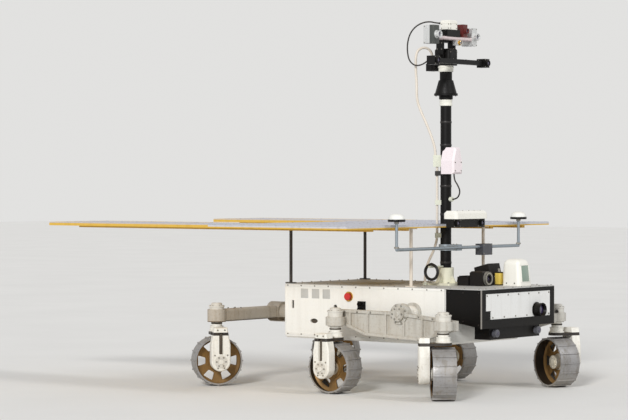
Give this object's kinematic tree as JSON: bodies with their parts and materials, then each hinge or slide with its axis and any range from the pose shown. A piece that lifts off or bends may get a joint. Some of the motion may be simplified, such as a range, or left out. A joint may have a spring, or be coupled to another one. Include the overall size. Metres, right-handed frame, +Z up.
{
  "type": "six-wheeled planetary rover",
  "caption": "Planetary rover on lugged metal wheels with steered legs on bogies, a white body, a panning and tilting camera mast and a solar array with rear wings.",
  "frame": {"origin": "on the ground, under the middle of the rover's length and width", "axes": "+X forwards, +Y to the rover's left, +Z up"},
  "size_m": [2.621, 1.914, 2.0264],
  "materials": {
    "antenna_white": "matt",
    "post_dark": "satin",
    "array_grey": "satin grey, dusty",
    "bench_metal": "bare, satin",
    "body_white": "satin paint",
    "bogie_grey": "satin, dusty",
    "cable_white": "matt",
    "cable_black": "matt",
    "camera_silver": "anodised",
    "clip_white": "matt",
    "bar_metal": "bare",
    "deck_grey": "satin, dusty",
    "unit_dark": "satin",
    "fitting_black": "satin black with a red button",
    "head_black": "satin black",
    "leg_white": "satin, dusty",
    "camera_red": "satin",
    "mast_black": "satin black",
    "foot_pale": "satin",
    "nose_black": "satin black",
    "panel_pale": "satin",
    "ring_pale": "satin",
    "receiver_pale": "satin",
    "array_yellow": "satin yellow",
    "housing_grey": "satin, dusty",
    "wheel_metal": "dusty satin",
    "box_white": "satin"
  },
  "bodies": {
    "chassis": {"steering_housings": "housing_grey", "bogie_right": "bogie_grey", "bogie_left": "bogie_grey", "bogie_rear": "bogie_grey", "body_shell": "body_white", "deck_plate": "deck_grey", "side_fittings": "fitting_black", "nose_box": "nose_black", "nose_bay": "nose_black", "nose_panel": "panel_pale", "nose_cameras": "nose_black", "mast_foot": "foot_pale", "mast_tube": "mast_black", "mast_head_base": "mast_black", "mast_box": "receiver_pale", "mast_clips": "clip_white", "cable_coil": "cable_black", "mast_cable_lower": "cable_white", "receiver_cable": "cable_black", "solar_array": "array_yellow", "array_skin": "array_grey", "deck_units": "unit_dark", "array_posts": "post_dark", "cross_bar": "bar_metal", "antennas": "antenna_white", "loc_camera": "head_black", "loc_cover": "box_white", "dome_unit": "box_white"},
    "pan_unit": {"pan_ring": "ring_pale", "pan_box": "head_black", "nav_bar": "head_black", "mast_cable_upper": "cable_white"},
    "camera_head": {"tilt_fork": "head_black", "camera_bench": "bench_metal", "wide_cameras": "camera_silver", "long_camera": "camera_red", "head_computer": "head_black", "head_electronics": "box_white", "head_cable": "cable_black"},
    "leg_front_right": {"leg_front_right": "leg_white"},
    "wheel_front_right": {"wheel_front_right": "wheel_metal"},
    "leg_front_left": {"leg_front_left": "leg_white"},
    "wheel_front_left": {"wheel_front_left": "wheel_metal"},
    "leg_middle_right": {"leg_middle_right": "leg_white"},
    "wheel_middle_right": {"wheel_middle_right": "wheel_metal"},
    "leg_middle_left": {"leg_middle_left": "leg_white"},
    "wheel_middle_left": {"wheel_middle_left": "wheel_metal"},
    "leg_rear_right": {"leg_rear_right": "leg_white"},
    "wheel_rear_right": {"wheel_rear_right": "wheel_metal"},
    "leg_rear_left": {"leg_rear_left": "leg_white"},
    "wheel_rear_left": {"wheel_rear_left": "wheel_metal"}
  },
  "joints": [
    {"name": "steer_front_right", "type": "hinge", "parent": "chassis", "child": "leg_front_right", "pos_m": [1.1575, -0.545, 0.362], "axis": [0, 0, 1], "range_deg": [-10, 110]},
    {"name": "spin_front_right", "type": "hinge", "parent": "leg_front_right", "child": "wheel_front_right", "pos_m": [1.1575, -0.545, 0.14], "axis": [0.766, 0.6428, 0], "continuous": true},
    {"name": "steer_front_left", "type": "hinge", "parent": "chassis", "child": "leg_front_left", "pos_m": [1.1575, 0.545, 0.362], "axis": [0, 0, 1], "range_deg": [-38, 82]},
    {"name": "spin_front_left", "type": "hinge", "parent": "leg_front_left", "child": "wheel_front_left", "pos_m": [1.1575, 0.545, 0.14], "axis": [0.3746, 0.9272, 0], "continuous": true},
    {"name": "steer_middle_right", "type": "hinge", "parent": "chassis", "child": "leg_middle_right", "pos_m": [0.4425, -0.545, 0.362], "axis": [0, 0, 1], "range_deg": [-60, 60]},
    {"name": "spin_middle_right", "type": "hinge", "parent": "leg_middle_right", "child": "wheel_middle_right", "pos_m": [0.4425, -0.545, 0.14], "axis": [0, 1, 0], "continuous": true},
    {"name": "steer_middle_left", "type": "hinge", "parent": "chassis", "child": "leg_middle_left", "pos_m": [0.4425, 0.545, 0.362], "axis": [0, 0, 1], "range_deg": [-60, 60]},
    {"name": "spin_middle_left", "type": "hinge", "parent": "leg_middle_left", "child": "wheel_middle_left", "pos_m": [0.4425, 0.545, 0.14], "axis": [0, 1, 0], "continuous": true},
    {"name": "steer_rear_right", "type": "hinge", "parent": "chassis", "child": "leg_rear_right", "pos_m": [-0.4025, -0.545, 0.362], "axis": [0, 0, 1], "range_deg": [-112, 8]},
    {"name": "spin_rear_right", "type": "hinge", "parent": "leg_rear_right", "child": "wheel_rear_right", "pos_m": [-0.4025, -0.545, 0.14], "axis": [-0.788, 0.6157, 0], "continuous": true},
    {"name": "steer_rear_left", "type": "hinge", "parent": "chassis", "child": "leg_rear_left", "pos_m": [-0.4025, 0.545, 0.362], "axis": [0, 0, 1], "range_deg": [-84, 36]},
    {"name": "spin_rear_left", "type": "hinge", "parent": "leg_rear_left", "child": "wheel_rear_left", "pos_m": [-0.4025, 0.545, 0.14], "axis": [-0.4067, 0.9135, 0], "continuous": true},
    {"name": "mast_pan", "type": "hinge", "parent": "chassis", "child": "pan_unit", "pos_m": [0.7875, 0, 1.7464], "axis": [0, 0, 1], "range_deg": [-165, 165]},
    {"name": "head_tilt", "type": "hinge", "parent": "pan_unit", "child": "camera_head", "pos_m": [0.7875, 0, 1.8284], "axis": [0, 1, 0], "range_deg": [-40, 45]}
  ]
}
